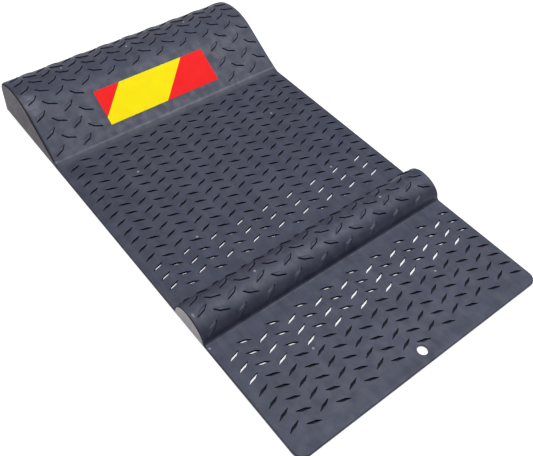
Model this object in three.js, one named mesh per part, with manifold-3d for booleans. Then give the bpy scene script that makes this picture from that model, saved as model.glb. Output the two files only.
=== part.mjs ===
// A tyre-stop floor mat in moulded plastic. Two thin slotted plates are joined by a low approach hump
// and end in a tall ramped stop hump. Grip strips are let into the underside, and a two-colour warning
// label lies on the ramp.
// Millimetres, +Z up. X runs across the mat and +Y runs from the front edge to the stop hump.
// The origin is on the ground under the middle of the mat.
import * as THREE from 'three';
import { mergeGeometries, mergeVertices } from 'three/addons/utils/BufferGeometryUtils.js';
import Module from 'manifold-3d';

const wasm = await Module();
wasm.setup();

const degree = Math.PI / 180;

// Whole mat
const matWidth = 260;
const matLength = 456;
const plateThickness = 2.5;
const cornerRadius = 9;
const halfWidth = matWidth / 2;
const frontY = -matLength / 2;
const backY = matLength / 2;

// Approach hump: a quarter-ellipse before its crest and another behind it, hollow, with closed ends
const approachCrestY = -91.5;
const approachHeight = 16.5;
const approachFrontReach = 23;
const approachBackReach = 16.5;
const approachWall = 2.5;
const approachEndWall = 3;
const approachFrontY = approachCrestY - approachFrontReach;
const approachBackY = approachCrestY + approachBackReach;

// Stop hump: a straight ramp, a wide crest arc and a tighter shoulder arc down to an upright back wall
const stopStartY = 119;
const foldY = 119.8;
const rampAngle = 31.6 * degree;
const crestY = 197;
const crestRadius = 55;
const crestFall = 24.5 * degree;
const stopWall = 3;
const stopEndWall = 5;
const endDraft = 0.02;

// Ribs that carry the load inside both humps
const ribThickness = 2.4;
const ribSpacing = 42;
const ribsEachSide = 2;
const fitGap = 0.3;

// Bars and slots share one column pitch. Each outline is a slim parallelogram given by its upper right
// tip and its lower right corner, measured from its own centre.
const columnPitch = 28;
const columnCount = 9;
const barHeight = 1;
const barRowLean = 0.284;
const leanPasses = 60;
const slotTip = [6.1, 2.5];
const slotCorner = [1.8, -0.55];
const slotRowPitch = 11.73;

// First columns of the forward-leaning and backward-leaning shapes
const barForwardX = -119;
const barBackwardX = -105;
const slotForwardX = -117;
const slotBackwardX = -103.3;

const approachBars = {
  rowPitch: 11.75, forwardY: -113.2, forwardRows: 4, backwardY: -107.3, backwardRows: 3,
  tip: [6.25, 3.1], corner: [2, -0.65],
};
const stopBars = {
  rowPitch: 12.85, forwardY: 129.7, forwardRows: 7, backwardY: 136.2, backwardRows: 7,
  tip: [6.25, 3.5], corner: [2.15, -0.6],
};
const labelRows = 3;
const labelColumns = { first: 2, last: 6 };

const longSlots = { forwardY: -54.2, forwardRows: 15, backwardY: -60.5, backwardRows: 16 };
const frontSlots = { forwardY: -205.9, forwardRows: 7, backwardY: -211.5, backwardRows: 8 };

// Fixing hole near the front edge
const holeX = 1.5;
const holeY = -217;
const holeRadius = 4.4;
const holeSides = 20;

// Grip strips, let into shallow pockets
const stripThickness = 1;
const stripLength = 255;
const rearPocketRoom = 2;
const frontStrip = { from: -213.4, to: -162 };
const longStrips = [
  { name: 'grip_strip_middle_front', from: -28, to: 22.4, skew: 0 },
  { name: 'grip_strip_middle_rear', from: 22.7, to: 73.2, skew: 0 },
  { name: 'grip_strip_rear', from: 74.4, to: 116, skew: 0.4 * degree },
];

// Warning label on the ramp, in three film panels with 45-degree joints
const labelCentreX = -0.6;
const labelWidth = 125.3;
const labelFoot = 16.9;
const labelHeight = 36.5;
const labelThickness = 0.3;
const bandTopLeft = 28.3;
const bandTopRight = 100.3;

// Steps in each rounded stretch, and how far a cutter reaches past the faces that it cuts
const cornerSteps = 5;
const archSteps = 7;
const crestSteps = 7;
const shoulderSteps = 6;
const overshoot = 1;
const aboveEverything = 60;

// ---------- shape helpers ----------

// Shape x and y become the mat's Y and Z, and the extrusion runs along X.
const acrossMat = new THREE.Matrix4().makeBasis(
  new THREE.Vector3(0, 1, 0),
  new THREE.Vector3(0, 0, 1),
  new THREE.Vector3(1, 0, 0),
);

function shapeOf(points) {
  return new THREE.Shape(points.map(([x, y]) => new THREE.Vector2(x, y)));
}

function extrude(shape, depth) {
  return new THREE.ExtrudeGeometry(shape, { depth, bevelEnabled: false, curveSegments: cornerSteps });
}

function sideways(profile, fromX, toX) {
  return extrude(shapeOf(profile), toX - fromX).applyMatrix4(acrossMat).translate(fromX, 0, 0);
}

function box(fromX, toX, fromY, toY, fromZ, toZ) {
  const geometry = new THREE.BoxGeometry(toX - fromX, toY - fromY, toZ - fromZ);
  return geometry.translate((fromX + toX) / 2, (fromY + toY) / 2, (fromZ + toZ) / 2);
}

function solidOf(geometry) {
  const bare = geometry.clone();
  bare.deleteAttribute('normal');
  bare.deleteAttribute('uv');
  const merged = mergeVertices(bare);
  const vertProperties = Float32Array.from(merged.attributes.position.array);
  const triVerts = Uint32Array.from(merged.index.array);
  return new wasm.Manifold(new wasm.Mesh({ numProp: 3, vertProperties, triVerts }));
}

function geometryOf(solid) {
  const mesh = solid.getMesh();
  const geometry = new THREE.BufferGeometry();
  geometry.setAttribute('position', new THREE.BufferAttribute(mesh.vertProperties, 3));
  geometry.setIndex(new THREE.BufferAttribute(mesh.triVerts, 1));
  geometry.computeVertexNormals();
  return geometry;
}

// Parallelogram prisms at the given centres, standing from fromZ to toZ. A backward-leaning one is the
// mirror image of a forward-leaning one.
function latticePrisms(tip, corner, centres, fromZ, toZ) {
  const prisms = centres.map(({ x, y, forward }) => {
    const side = forward ? 1 : -1;
    const outline = [tip, corner.map((value) => -value), tip.map((value) => -value), corner];
    const placed = outline.map(([dx, dy]) => [x + side * dx, y + dy]);
    return extrude(shapeOf(placed), toZ - fromZ).translate(0, 0, fromZ);
  });
  return solidOf(mergeGeometries(prisms));
}

// ---------- hump outlines, as [Y, Z] points ----------

function arcPoints(centreY, centreZ, reach, rise, fromAngle, toAngle, steps) {
  return Array.from({ length: steps + 1 }, (_, i) => {
    const angle = fromAngle + ((toAngle - fromAngle) * i) / steps;
    return [centreY + reach * Math.sin(angle), centreZ + rise * Math.cos(angle)];
  });
}

function approachOutline(offset, footZ) {
  const quarter = (reach, fromAngle, toAngle) => arcPoints(
    approachCrestY, plateThickness, reach + offset, approachHeight + offset, fromAngle, toAngle, archSteps);
  const back = quarter(approachBackReach, 90 * degree, 0);
  const front = quarter(approachFrontReach, 0, -90 * degree);
  const backFoot = [back[0][0], footZ];
  const frontFoot = [front[archSteps][0], footZ];
  const arch = [...back, ...front.slice(1)];
  return footZ < plateThickness ? [backFoot, ...arch, frontFoot] : arch;
}

const crestCentreZ = plateThickness
  + ((crestY - foldY) * Math.sin(rampAngle) - crestRadius) / Math.cos(rampAngle);
const shoulderStartY = crestY + crestRadius * Math.sin(crestFall);
const shoulderRadius = (backY - shoulderStartY) / (1 - Math.sin(crestFall));
const shoulderCentreY = backY - shoulderRadius;
const shoulderCentreZ = crestCentreZ + (crestRadius - shoulderRadius) * Math.cos(crestFall);

function stopOutline(offset, footZ) {
  const crest = crestRadius + offset;
  const shoulder = shoulderRadius + offset;
  const rampRise = footZ - plateThickness - offset / Math.cos(rampAngle);
  const rampFoot = [foldY + rampRise / Math.tan(rampAngle), footZ];
  const crestArc = arcPoints(crestY, crestCentreZ, crest, crest, -rampAngle, crestFall, crestSteps);
  const shoulderArc = arcPoints(
    shoulderCentreY, shoulderCentreZ, shoulder, shoulder, crestFall, 90 * degree, shoulderSteps);
  return [rampFoot, ...crestArc, ...shoulderArc.slice(1), [backY + offset, footZ]];
}

// Height of a hump above the plates at a given Y
function approachRise(y) {
  const reach = y < approachCrestY ? approachFrontReach : approachBackReach;
  return approachHeight * Math.sqrt(Math.max(0, 1 - ((y - approachCrestY) / reach) ** 2));
}

function stopRise(y) {
  const arcStartY = crestY - crestRadius * Math.sin(rampAngle);
  if (y < arcStartY) return (y - foldY) * Math.tan(rampAngle);
  const onCrest = y < shoulderStartY;
  const centreY = onCrest ? crestY : shoulderCentreY;
  const centreZ = onCrest ? crestCentreZ : shoulderCentreZ;
  const radius = onCrest ? crestRadius : shoulderRadius;
  return centreZ - plateThickness + Math.sqrt(Math.max(0, radius ** 2 - (y - centreY) ** 2));
}

// Bar rows keep one pitch along a line that leans back as the hump rises, so a row's Y is found by
// stepping towards the place where the leaning line crosses the hump's surface.
function leaningRowY(start, rise) {
  let y = start;
  for (let i = 0; i < leanPasses; i += 1) {
    y = start + barRowLean * rise(y);
  }
  return y;
}

function underLabel(row, column) {
  return row < labelRows && column >= labelColumns.first && column <= labelColumns.last;
}

function barCentres(bars, rise, skip) {
  const centres = [];
  const addRows = (startY, rows, startX, forward) => {
    for (let row = 0; row < rows; row += 1) {
      const y = leaningRowY(startY + row * bars.rowPitch, rise);
      for (let column = 0; column < columnCount; column += 1) {
        if (!skip(row, column)) centres.push({ x: startX + column * columnPitch, y, forward });
      }
    }
  };
  addRows(bars.forwardY, bars.forwardRows, barForwardX, true);
  addRows(bars.backwardY, bars.backwardRows, barBackwardX, false);
  return centres;
}

function slotCentres(slots) {
  const centres = [];
  const addRows = (startY, rows, startX, forward) => {
    for (let row = 0; row < rows; row += 1) {
      for (let column = 0; column < columnCount; column += 1) {
        centres.push({ x: startX + column * columnPitch, y: startY + row * slotRowPitch, forward });
      }
    }
  };
  addRows(slots.forwardY, slots.forwardRows, slotForwardX, true);
  addRows(slots.backwardY, slots.backwardRows, slotBackwardX, false);
  return centres;
}

// ---------- plates ----------

function slotCutter(slots) {
  const top = plateThickness + overshoot;
  return latticePrisms(slotTip, slotCorner, slotCentres(slots), -overshoot, top);
}

function stripPocket(fromY, toY) {
  const reach = stripLength / 2 + fitGap;
  return solidOf(box(-reach, reach, fromY - fitGap, toY + fitGap, -overshoot, stripThickness));
}

function frontPlate() {
  const outline = new THREE.Shape();
  outline.moveTo(-halfWidth, approachFrontY);
  outline.lineTo(-halfWidth, frontY + cornerRadius);
  outline.absarc(-halfWidth + cornerRadius, frontY + cornerRadius, cornerRadius, 180 * degree, 270 * degree);
  outline.lineTo(halfWidth - cornerRadius, frontY);
  outline.absarc(halfWidth - cornerRadius, frontY + cornerRadius, cornerRadius, 270 * degree, 360 * degree);
  outline.lineTo(halfWidth, approachFrontY);
  const hole = new THREE.CylinderGeometry(holeRadius, holeRadius, 3 * plateThickness, holeSides);
  hole.rotateX(90 * degree).translate(holeX, holeY, 0);
  return solidOf(extrude(outline, plateThickness))
    .subtract(stripPocket(frontStrip.from, frontStrip.to))
    .subtract(solidOf(hole))
    .subtract(slotCutter(frontSlots));
}

function longPlate() {
  const pocketEnd = longStrips[longStrips.length - 1].to + rearPocketRoom;
  return solidOf(box(-halfWidth, halfWidth, approachBackY, stopStartY, 0, plateThickness))
    .subtract(stripPocket(longStrips[0].from, pocketEnd))
    .subtract(slotCutter(longSlots));
}

// ---------- humps ----------

function raisedBars(bars, rise, skip, envelope) {
  const centres = barCentres(bars, rise, skip);
  return latticePrisms(bars.tip, bars.corner, centres, plateThickness, aboveEverything)
    .intersect(envelope);
}

function approachHump() {
  const outer = solidOf(sideways(approachOutline(0, 0), -halfWidth, halfWidth));
  const cavityReach = halfWidth - approachEndWall;
  const inner = solidOf(sideways(approachOutline(-approachWall, -overshoot), -cavityReach, cavityReach));
  const swollen = solidOf(sideways(approachOutline(barHeight, plateThickness), -halfWidth, halfWidth));
  const zone = solidOf(box(-halfWidth, halfWidth, approachFrontY, approachBackY, 0, aboveEverything));
  const bars = raisedBars(approachBars, approachRise, () => false, swollen.intersect(zone));
  return outer.add(bars).subtract(inner);
}

function stopHump() {
  const profile = [[stopStartY, 0], [stopStartY, plateThickness], ...stopOutline(0, plateThickness)];
  profile[profile.length - 1] = [backY, 0];
  const body = sideways(profile, -halfWidth, halfWidth);
  const position = body.attributes.position;
  for (let i = 0; i < position.count; i += 1) {
    const drafted = halfWidth - endDraft * position.getZ(i);
    position.setX(i, Math.sign(position.getX(i)) * drafted);
  }
  const cavityReach = halfWidth - stopEndWall;
  const inner = solidOf(sideways(stopOutline(-stopWall, -overshoot), -cavityReach, cavityReach));
  const swollen = solidOf(sideways(stopOutline(barHeight, plateThickness), -halfWidth, halfWidth));
  const zone = solidOf(box(-halfWidth, halfWidth, stopStartY, backY, 0, aboveEverything));
  const bars = raisedBars(stopBars, stopRise, underLabel, swollen.intersect(zone));
  return solidOf(body).add(bars).subtract(inner);
}

function rib(profile, x) {
  return sideways(profile, x - ribThickness / 2, x + ribThickness / 2);
}

// ---------- assembly ----------

const plastic = { color: 0x4b4c59, roughness: 0.5, metalness: 0 };
const gripFoam = { color: 0x26262b, roughness: 0.95, metalness: 0 };
const yellowFilm = { color: 0xffe100, roughness: 0.35, metalness: 0 };
const redFilm = { color: 0xf02a26, roughness: 0.35, metalness: 0 };

const mat = new THREE.Group();

function addPiece(parent, name, geometry, finish) {
  const mesh = new THREE.Mesh(geometry, new THREE.MeshStandardMaterial(finish));
  mesh.name = name;
  parent.add(mesh);
  return mesh;
}

addPiece(mat, 'front_plate', geometryOf(frontPlate()), plastic);
addPiece(mat, 'approach_hump', geometryOf(approachHump()), plastic);
addPiece(mat, 'long_plate', geometryOf(longPlate()), plastic);
addPiece(mat, 'stop_hump', geometryOf(stopHump()), plastic);

const approachRib = approachOutline(-approachWall - fitGap, 0);
const stopRib = stopOutline(-stopWall - fitGap, 0);
for (let i = -ribsEachSide; i <= ribsEachSide; i += 1) {
  const number = i + ribsEachSide + 1;
  addPiece(mat, `approach_rib_${number}`, rib(approachRib, i * ribSpacing), plastic);
  addPiece(mat, `stop_rib_${number}`, rib(stopRib, i * ribSpacing), plastic);
}

function gripStrip({ name, from, to, skew = 0 }) {
  const width = to - from;
  const pad = new THREE.BoxGeometry(stripLength - width * Math.sin(skew), width, stripThickness);
  const strip = addPiece(mat, name, pad, gripFoam);
  strip.position.set(0, (from + to) / 2 + (stripLength / 2) * Math.sin(skew), stripThickness / 2);
  strip.rotation.z = skew;
}

gripStrip({ name: 'grip_strip_front', ...frontStrip });
longStrips.forEach(gripStrip);

// The label lies in the ramp's own frame: x across, y up the ramp, z out of it.
const ramp = new THREE.Group();
ramp.position.set(labelCentreX - labelWidth / 2, foldY, plateThickness);
ramp.rotation.x = rampAngle;
mat.add(ramp);

function labelPanel(name, points, finish) {
  const panel = addPiece(ramp, name, extrude(shapeOf(points), labelThickness), finish);
  panel.position.set(0, labelFoot, fitGap);
}

labelPanel('label_red_left', [
  [0, labelHeight], [0, labelHeight - bandTopLeft + fitGap], [bandTopLeft - fitGap, labelHeight],
], redFilm);
labelPanel('label_yellow_band', [
  [0, 0], [bandTopRight - labelHeight, 0], [bandTopRight, labelHeight],
  [bandTopLeft, labelHeight], [0, labelHeight - bandTopLeft],
], yellowFilm);
labelPanel('label_red_right', [
  [bandTopRight - labelHeight + fitGap, 0], [labelWidth, 0], [labelWidth, labelHeight],
  [bandTopRight + fitGap, labelHeight],
], redFilm);

export default mat;
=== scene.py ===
# The looks of a moulded plastic parking stop mat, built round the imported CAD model.
# Everything is worked out in millimetres in the mat's own frame and scaled to metres where a mesh is
# made. X runs across the mat, +Y from the front edge to the stop hump, +Z up.
import math

import bmesh
import bpy
import numpy as np
from mathutils import Matrix, Vector
from mathutils.geometry import delaunay_2d_cdt


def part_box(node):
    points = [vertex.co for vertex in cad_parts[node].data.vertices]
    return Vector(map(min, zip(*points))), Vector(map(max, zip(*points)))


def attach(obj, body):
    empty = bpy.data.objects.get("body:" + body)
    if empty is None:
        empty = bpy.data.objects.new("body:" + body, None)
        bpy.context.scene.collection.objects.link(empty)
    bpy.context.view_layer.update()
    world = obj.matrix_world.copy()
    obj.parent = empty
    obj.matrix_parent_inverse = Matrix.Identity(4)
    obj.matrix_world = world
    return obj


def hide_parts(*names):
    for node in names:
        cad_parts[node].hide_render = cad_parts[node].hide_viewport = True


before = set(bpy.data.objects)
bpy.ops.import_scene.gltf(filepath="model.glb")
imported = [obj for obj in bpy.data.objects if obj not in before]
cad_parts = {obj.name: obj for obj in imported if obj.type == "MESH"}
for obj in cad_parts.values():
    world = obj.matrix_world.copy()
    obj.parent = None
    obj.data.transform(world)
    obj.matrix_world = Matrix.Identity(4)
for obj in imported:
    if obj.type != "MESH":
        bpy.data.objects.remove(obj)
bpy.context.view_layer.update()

MM = 0.001


def corner_mm(node, end):
    """The lowest (end 0) or highest (end 1) corner of a CAD node."""
    return [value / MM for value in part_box(node)[end]]


# ---------- sizes taken from the frame ----------

HALF_WIDTH, _, PLATE_TOP = corner_mm("front_plate", 1)
_, FRONT_Y, _ = corner_mm("front_plate", 0)
_, APPROACH_FRONT_Y, _ = corner_mm("approach_hump", 0)
_, APPROACH_BACK_Y, APPROACH_TOP = corner_mm("approach_hump", 1)
_, BACK_Y, _ = corner_mm("stop_hump", 1)

# ---------- the design's other sizes ----------

CORNER_RADIUS = 9
BAR_HEIGHT = 1.0

APPROACH_CREST_Y = -91.5
APPROACH_RISE = APPROACH_TOP - BAR_HEIGHT - PLATE_TOP
APPROACH_FRONT_REACH = APPROACH_CREST_Y - APPROACH_FRONT_Y
APPROACH_BACK_REACH = APPROACH_BACK_Y - APPROACH_CREST_Y
APPROACH_WALL = 2.5
APPROACH_END_WALL = 3.0
FOOT_FILLET = 3.0

FOLD_Y = 119.8
FOLD_START_Y, FOLD_END_Y = 118.0, 124.1
RAMP_ANGLE = math.radians(31.6)
CREST_Y = 197
CREST_RADIUS = 55
CREST_FALL = math.radians(24.5)
STOP_WALL = 3.0
STOP_END_WALL = 5.0
END_DRAFT = 0.02
DRAFT_STARTS, DRAFT_FULL = 100, 119

SHEET = 1.5
SHEET_Z = PLATE_TOP - SHEET
FRONT_POCKET = (-214.5, -161.85)
REAR_POCKET = (-28.02, 118.3)
POCKET_REACH = 127.65
POCKET_CORNER = 2.0
POCKET_BEVEL = 0.05
POCKET_ROOT = 0.03
POCKET_NOTCH = 6.2

PLATE_RIM = 1.1
STOP_RIM = 2.4
STOP_RIM_STARTS, STOP_RIM_FULL = 118, 138
RIM_STEPS = 6
GROUND_EDGE = 0.4
EDGE_STEPS = 3
# A small bevel's middle ring lies this share of its size from both faces, which makes it a soft curve
BEVEL_MIDDLE = 0.3
SUPPORT = 0.25

# Painted shade: round the rim ring by ring, on the stop hump's ends, and behind the approach hump, where it
# begins at one steepness in degrees and is full so many degrees further on
RIM_SHADE = (0, 0.1, 0.5, 0.9, 1, 0.9, 0.3, 0)
END_SHADE = 0.4
BACK_SHADE, BACK_SHADE_STARTS, BACK_SHADE_SPAN = 0.58, 36.0, 22.0

RIBS_IN_HUMP = 5

COLUMN_PITCH = 28
COLUMNS = 9
BAR_LEAN = 0.284
SOLVE_PASSES = 60
BAR_FORWARD_X, BAR_BACKWARD_X = -119, -105
APPROACH_BARS = {
    "pitch": 11.75, "forward_y": -113.2, "forward_rows": 4, "backward_y": -107.3, "backward_rows": 3,
    "tip": (6.25, 3.1), "corner": (2.0, -0.65),
}
STOP_BARS = {
    "pitch": 12.85, "forward_y": 129.7, "forward_rows": 7, "backward_y": 136.2, "backward_rows": 7,
    "tip": (6.25, 3.5), "corner": (2.15, -0.6),
}
LABEL_ROWS = 3
LABEL_COLUMNS = range(2, 7)

SLOT_PITCH = 11.73
SLOT_FORWARD_X, SLOT_BACKWARD_X = -117, -103.3
SLOT_TIP, SLOT_CORNER = (6.1, 2.5), (1.8, -0.55)
FRONT_SLOTS = {"forward_y": -205.9, "forward_rows": 7, "backward_y": -211.5, "backward_rows": 8}
LONG_SLOTS = {"forward_y": -54.2, "forward_rows": 15, "backward_y": -60.5, "backward_rows": 16}

SLOT_BEVEL = 0.25
SLOT_FOOT = 0.08
SLOT_BRIGHT_RINGS = 3

HOLE_X, HOLE_Y, HOLE_RADIUS = 1.5, -217, 4.4
HOLE_STEPS = 32

# Rings down a slot and the fixing hole: distance out from the wall and depth below the top surface
SLOT_RINGS = [(SLOT_BEVEL, 0.0), (0.13, 0.04), (0.04, 0.12), (0.0, 0.28)]
HOLE_RINGS = [(0.4, 0.0), (0.2, 0.04), (0.05, 0.15), (0.0, 0.35), (0.0, PLATE_TOP - 0.3), (0.3, PLATE_TOP)]

LABEL_CENTRE_X = -0.6
LABEL_WIDTH = 125.3
LABEL_FOOT = 16.9
LABEL_HEIGHT = 36.5
BAND_TOP_LEFT, BAND_TOP_RIGHT = 28.3, 100.3

# ---------- side view of the mat ----------

FRONT_CROWN_STEPS, BACK_CROWN_STEPS, FOOT_STEPS = 26, 22, 8
ARCH_FRONT_STEPS, ARCH_BACK_STEPS = 16, 14
CREST_STEPS, SHOULDER_STEPS = 24, 36
FOLD_STEPS = 10
TINY = 1e-6


def arc(centre_y, centre_z, reach, rise, start, end, steps, hollow=False):
    """Rows of y, z and unit normal along an elliptical stretch. Angles run from straight up to +Y."""
    angle = np.linspace(start, end, steps + 1)
    normal = np.column_stack([np.sin(angle) / reach, np.cos(angle) / rise])
    normal /= np.linalg.norm(normal, axis=1)[:, None]
    spot = np.column_stack([centre_y + reach * np.sin(angle), centre_z + rise * np.cos(angle)])
    return np.column_stack([spot, -normal if hollow else normal])


def line(from_y, from_z, to_y, to_z, steps=1):
    """Rows of y, z and unit normal along a straight stretch, its normal to the left of its run."""
    along = np.array([to_y - from_y, to_z - from_z])
    along /= np.linalg.norm(along)
    share = np.linspace(0, 1, steps + 1)
    y = from_y + (to_y - from_y) * share
    z = from_z + (to_z - from_z) * share
    return np.column_stack([y, z, np.full(len(y), -along[1]), np.full(len(y), along[0])])


class Profile:
    """A side view as points with normals, and the distance s run along them."""

    def __init__(self, *stretches):
        rows = np.vstack(stretches)
        moved = np.hypot(np.diff(rows[:, 0]), np.diff(rows[:, 1])) > TINY
        rows = rows[np.r_[True, moved]]
        self.y, self.z, self.ny, self.nz = rows.T
        self.s = np.r_[0, np.cumsum(np.hypot(np.diff(self.y), np.diff(self.z)))]

    def at(self, s):
        y, z, ny, nz = (np.interp(s, self.s, part) for part in (self.y, self.z, self.ny, self.nz))
        size = np.hypot(ny, nz)
        return y, z, ny / size, nz / size

    def s_of(self, y):
        return np.interp(y, self.y, self.s)

    def lines_between(self, low, high):
        return self.s[(self.s > low + TINY) & (self.s < high - TINY)]


def foot_contact(reach, rise, fillet):
    """The angle on a quarter-ellipse where a fillet of that radius, standing on the plate, touches it."""
    low, high = 0.0, math.pi / 2
    for _ in range(SOLVE_PASSES):
        angle = (low + high) / 2
        size = math.hypot(math.sin(angle) / reach, math.cos(angle) / rise)
        height = rise * math.cos(angle) + fillet * math.cos(angle) / rise / size
        low, high = (angle, high) if height > fillet else (low, angle)
    return low


def approach_quarter(reach, steps):
    """The back half of the approach hump: from its crest, over the quarter-ellipse, down the foot fillet."""
    contact = foot_contact(reach, APPROACH_RISE, FOOT_FILLET)
    crown = arc(APPROACH_CREST_Y, PLATE_TOP, reach, APPROACH_RISE, 0, contact, steps)
    y, z, ny, nz = crown[-1]
    turn = math.atan2(-ny, -nz)
    foot = arc(y + FOOT_FILLET * ny, z + FOOT_FILLET * nz, FOOT_FILLET, FOOT_FILLET,
               turn, -math.pi, FOOT_STEPS, hollow=True)
    return crown, foot


def mirrored(rows):
    """Rows of a stretch turned about the approach hump's crest, in the order of rising y."""
    turned = rows[::-1].copy()
    turned[:, 0] = 2 * APPROACH_CREST_Y - turned[:, 0]
    turned[:, 2] *= -1
    return turned


CREST_CENTRE_Z = PLATE_TOP + (
    (CREST_Y - FOLD_Y) * math.sin(RAMP_ANGLE) - CREST_RADIUS) / math.cos(RAMP_ANGLE)
SHOULDER_START_Y = CREST_Y + CREST_RADIUS * math.sin(CREST_FALL)
SHOULDER_RADIUS = (BACK_Y - SHOULDER_START_Y) / (1 - math.sin(CREST_FALL))
SHOULDER_CENTRE_Y = BACK_Y - SHOULDER_RADIUS
SHOULDER_CENTRE_Z = CREST_CENTRE_Z + (CREST_RADIUS - SHOULDER_RADIUS) * math.cos(CREST_FALL)


def fold_curve():
    """The smooth rise from the long plate into the ramp, as a quadratic curve."""
    share = np.linspace(0, 1, FOLD_STEPS + 1)
    end_z = PLATE_TOP + (FOLD_END_Y - FOLD_Y) * math.tan(RAMP_ANGLE)
    start, corner, end = (np.array(p) for p in (
        (FOLD_START_Y, PLATE_TOP), (FOLD_Y, PLATE_TOP), (FOLD_END_Y, end_z)))
    rest = (1 - share)[:, None]
    share = share[:, None]
    spot = rest ** 2 * start + 2 * share * rest * corner + share ** 2 * end
    along = rest * (corner - start) + share * (end - corner)
    along /= np.linalg.norm(along, axis=1)[:, None]
    return np.column_stack([spot, -along[:, 1], along[:, 0]])


def stop_stretches(drop, start_y, start_z):
    """The ramp from its start, the crest, the shoulder and the back wall, drop below the top surface."""
    crest = CREST_RADIUS - drop
    shoulder = SHOULDER_RADIUS - drop
    over = arc(CREST_Y, CREST_CENTRE_Z, crest, crest, -RAMP_ANGLE, CREST_FALL, CREST_STEPS)
    ramp = line(start_y, start_z, *over[0, :2])
    back = arc(SHOULDER_CENTRE_Y, SHOULDER_CENTRE_Z, shoulder, shoulder,
               CREST_FALL, math.pi / 2, SHOULDER_STEPS)
    wall = line(*back[-1, :2], back[-1, 0], GROUND_EDGE + SUPPORT)
    edge = line(back[-1, 0], GROUND_EDGE + SUPPORT, back[-1, 0], GROUND_EDGE)
    return ramp, over, back, wall, edge


def top_profile():
    """The whole top surface, from the front edge over both humps to the foot of the back wall."""
    before = approach_quarter(APPROACH_FRONT_REACH, FRONT_CROWN_STEPS)
    front_crown, front_foot = (mirrored(part) for part in before)
    back_crown, back_foot = approach_quarter(APPROACH_BACK_REACH, BACK_CROWN_STEPS)
    fold = fold_curve()
    stop = stop_stretches(0, *fold[-1, :2])
    front_plate = line(FRONT_Y, PLATE_TOP, *front_foot[0, :2])
    long_plate = line(*back_foot[-1, :2], *fold[0, :2])
    return Profile(front_plate, front_foot, front_crown, back_crown, back_foot, long_plate, fold, *stop)


def arch_profile():
    """The hollow side of the approach hump, from the ground in front to the ground behind."""
    front, back = APPROACH_FRONT_REACH - APPROACH_WALL, APPROACH_BACK_REACH - APPROACH_WALL
    rise = APPROACH_RISE - APPROACH_WALL
    up = line(APPROACH_CREST_Y - front, GROUND_EDGE, APPROACH_CREST_Y - front, PLATE_TOP)
    over = arc(APPROACH_CREST_Y, PLATE_TOP, front, rise, -math.pi / 2, 0, ARCH_FRONT_STEPS)
    down_over = arc(APPROACH_CREST_Y, PLATE_TOP, back, rise, 0, math.pi / 2, ARCH_BACK_STEPS)
    down = line(APPROACH_CREST_Y + back, PLATE_TOP, APPROACH_CREST_Y + back, GROUND_EDGE)
    return Profile(up, over, down_over, down)


def ceiling_profile():
    """The ceiling of the stop hump's hollow, from its mouth behind the fold to the foot of the back wall."""
    drop = STOP_WALL / math.cos(RAMP_ANGLE)
    mouth_y = FOLD_Y + (GROUND_EDGE - PLATE_TOP + drop) / math.tan(RAMP_ANGLE)
    return Profile(*stop_stretches(STOP_WALL, mouth_y, GROUND_EDGE))


TOP = top_profile()
ARCH = arch_profile()
CEILING = ceiling_profile()


def ease(share):
    share = np.clip(share, 0, 1)
    return share * share * (3 - 2 * share)


def side_x(y, z):
    """Half the mat's width at a place: the stop hump's ends lean in as they rise."""
    return HALF_WIDTH - END_DRAFT * z * ease((y - DRAFT_STARTS) / (DRAFT_FULL - DRAFT_STARTS))


def rim_radius(y):
    """The rim is rounder on the stop hump than on the plates."""
    share = (y - STOP_RIM_STARTS) / (STOP_RIM_FULL - STOP_RIM_STARTS)
    return PLATE_RIM + (STOP_RIM - PLATE_RIM) * ease(share)


# ---------- flat outlines ----------

# Corner radii of the bars and slots: sharp tips and blunt middles
BAR_ROUNDING = (0.15, 1.4, 0.15, 1.4)
SLOT_ROUNDING = (0.15, 1.2, 0.15, 1.2)
ROUNDING_STEPS = 3


def rounded(points, radii, steps):
    """A closed outline with an arc of the given radius at each corner."""
    outline = []
    count = len(points)
    for i, radius in enumerate(radii):
        corner = np.array(points[i], float)
        before = np.array(points[i - 1], float) - corner
        after = np.array(points[(i + 1) % count], float) - corner
        before /= np.linalg.norm(before)
        after /= np.linalg.norm(after)
        half = math.acos(np.clip(before @ after, -1, 1)) / 2
        middle = before + after
        middle /= np.linalg.norm(middle)
        centre = corner + middle * radius / math.sin(half)
        start = corner + before * radius / math.tan(half) - centre
        end = corner + after * radius / math.tan(half) - centre
        turn = math.atan2(start[0] * end[1] - start[1] * end[0], start @ end)
        for step in range(steps + 1):
            angle = turn * step / steps
            c, s = math.cos(angle), math.sin(angle)
            outline.append(centre + np.array([c * start[0] - s * start[1], s * start[0] + c * start[1]]))
    return np.array(outline)


def grown(outline, distance):
    """A counter-clockwise outline moved outwards by a distance, or inwards by a negative one."""
    edge = np.roll(outline, -1, axis=0) - outline
    normal = np.column_stack([edge[:, 1], -edge[:, 0]])
    normal /= np.linalg.norm(normal, axis=1)[:, None]
    joint = normal + np.roll(normal, 1, axis=0)
    joint /= (joint * normal).sum(axis=1)[:, None]
    return outline + joint * distance


def parallelogram(tip, corner, radii):
    """The forward-leaning and backward-leaning outlines, counter-clockwise about their own centre."""
    points = [tip, (-corner[0], -corner[1]), (-tip[0], -tip[1]), corner]
    forward = rounded(points, radii, ROUNDING_STEPS)
    return {1: forward, -1: (forward * (-1, 1))[::-1]}


def lattice(rows, pitch, forward_x, backward_x, rise=None, skip=None):
    """Centres (x, y, lean) of the shapes. A row keeps its pitch along a line that leans back."""
    centres = []
    kinds = ((1, rows["forward_y"], rows["forward_rows"], forward_x),
             (-1, rows["backward_y"], rows["backward_rows"], backward_x))
    for lean, start_y, count, start_x in kinds:
        for row in range(count):
            y = base = start_y + row * pitch
            for _ in range(SOLVE_PASSES if rise else 0):
                y = base + BAR_LEAN * rise(y)
            for column in range(COLUMNS):
                if not (skip and skip(row, column)):
                    centres.append((start_x + column * COLUMN_PITCH, y, lean))
    return centres


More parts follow.
